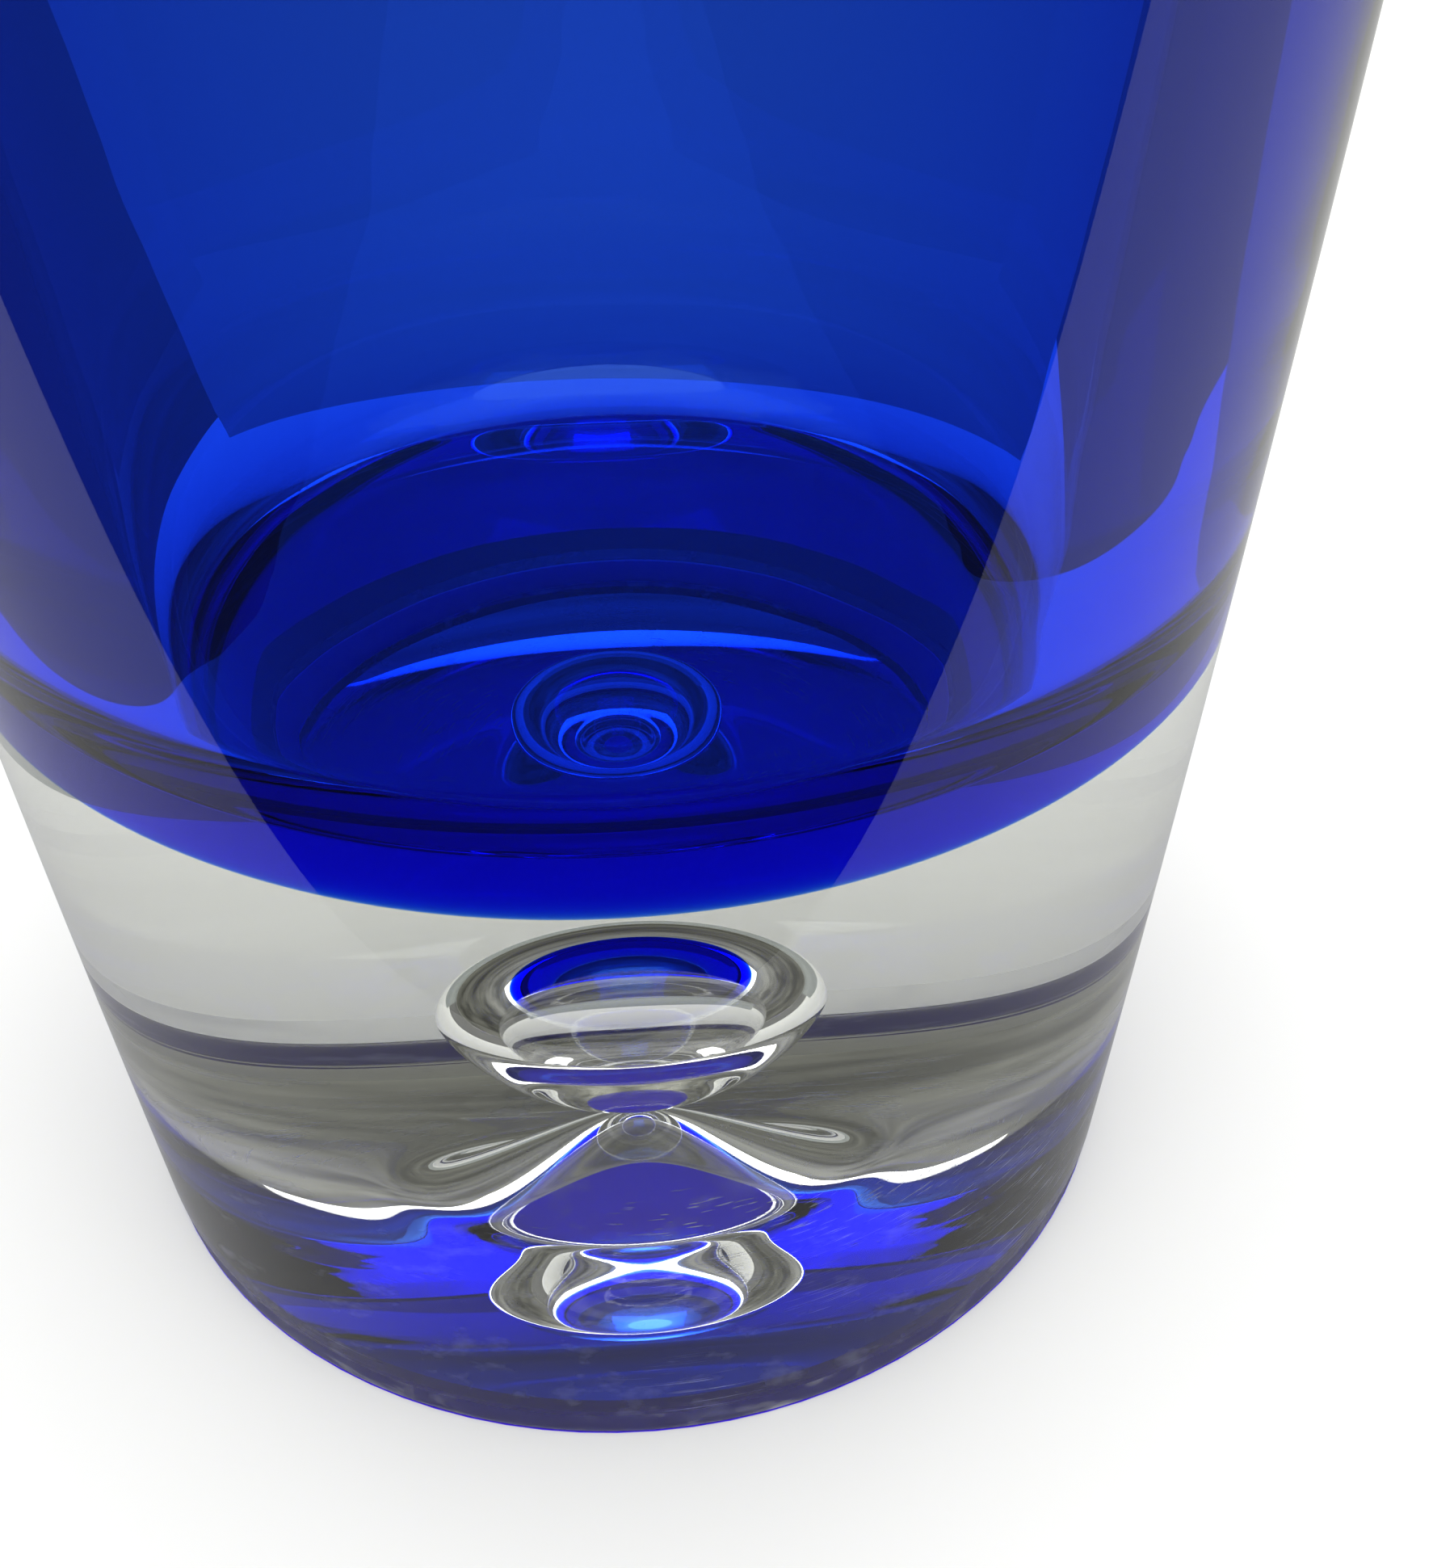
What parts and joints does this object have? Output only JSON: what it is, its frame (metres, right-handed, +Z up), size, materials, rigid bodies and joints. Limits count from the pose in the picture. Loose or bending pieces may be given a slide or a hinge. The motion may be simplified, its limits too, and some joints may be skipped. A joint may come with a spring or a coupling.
{
  "type": "cased glass vase",
  "caption": "Heavy cylindrical cased glass vase: a cobalt blue cup inside clear glass, over a thick clear base that holds a trapped air bubble.",
  "frame": {"origin": "centre of the foot ring, on the surface that the vase stands on", "axes": "+Z up along the axis of the vase; X and Y are equivalent, because the vase is turned about Z"},
  "size_m": [0.1128, 0.1128, 0.24],
  "materials": {
    "blue_glass": "polished transparent cobalt blue",
    "clear_gather": "polished colourless, fused on both sides",
    "clear_casing": "polished colourless, with a lightly scratched ground foot ring"
  },
  "bodies": {
    "root": {"blue_cup": "blue_glass", "inner_gather": "clear_gather", "outer_casing": "clear_casing"}
  },
  "joints": []
}
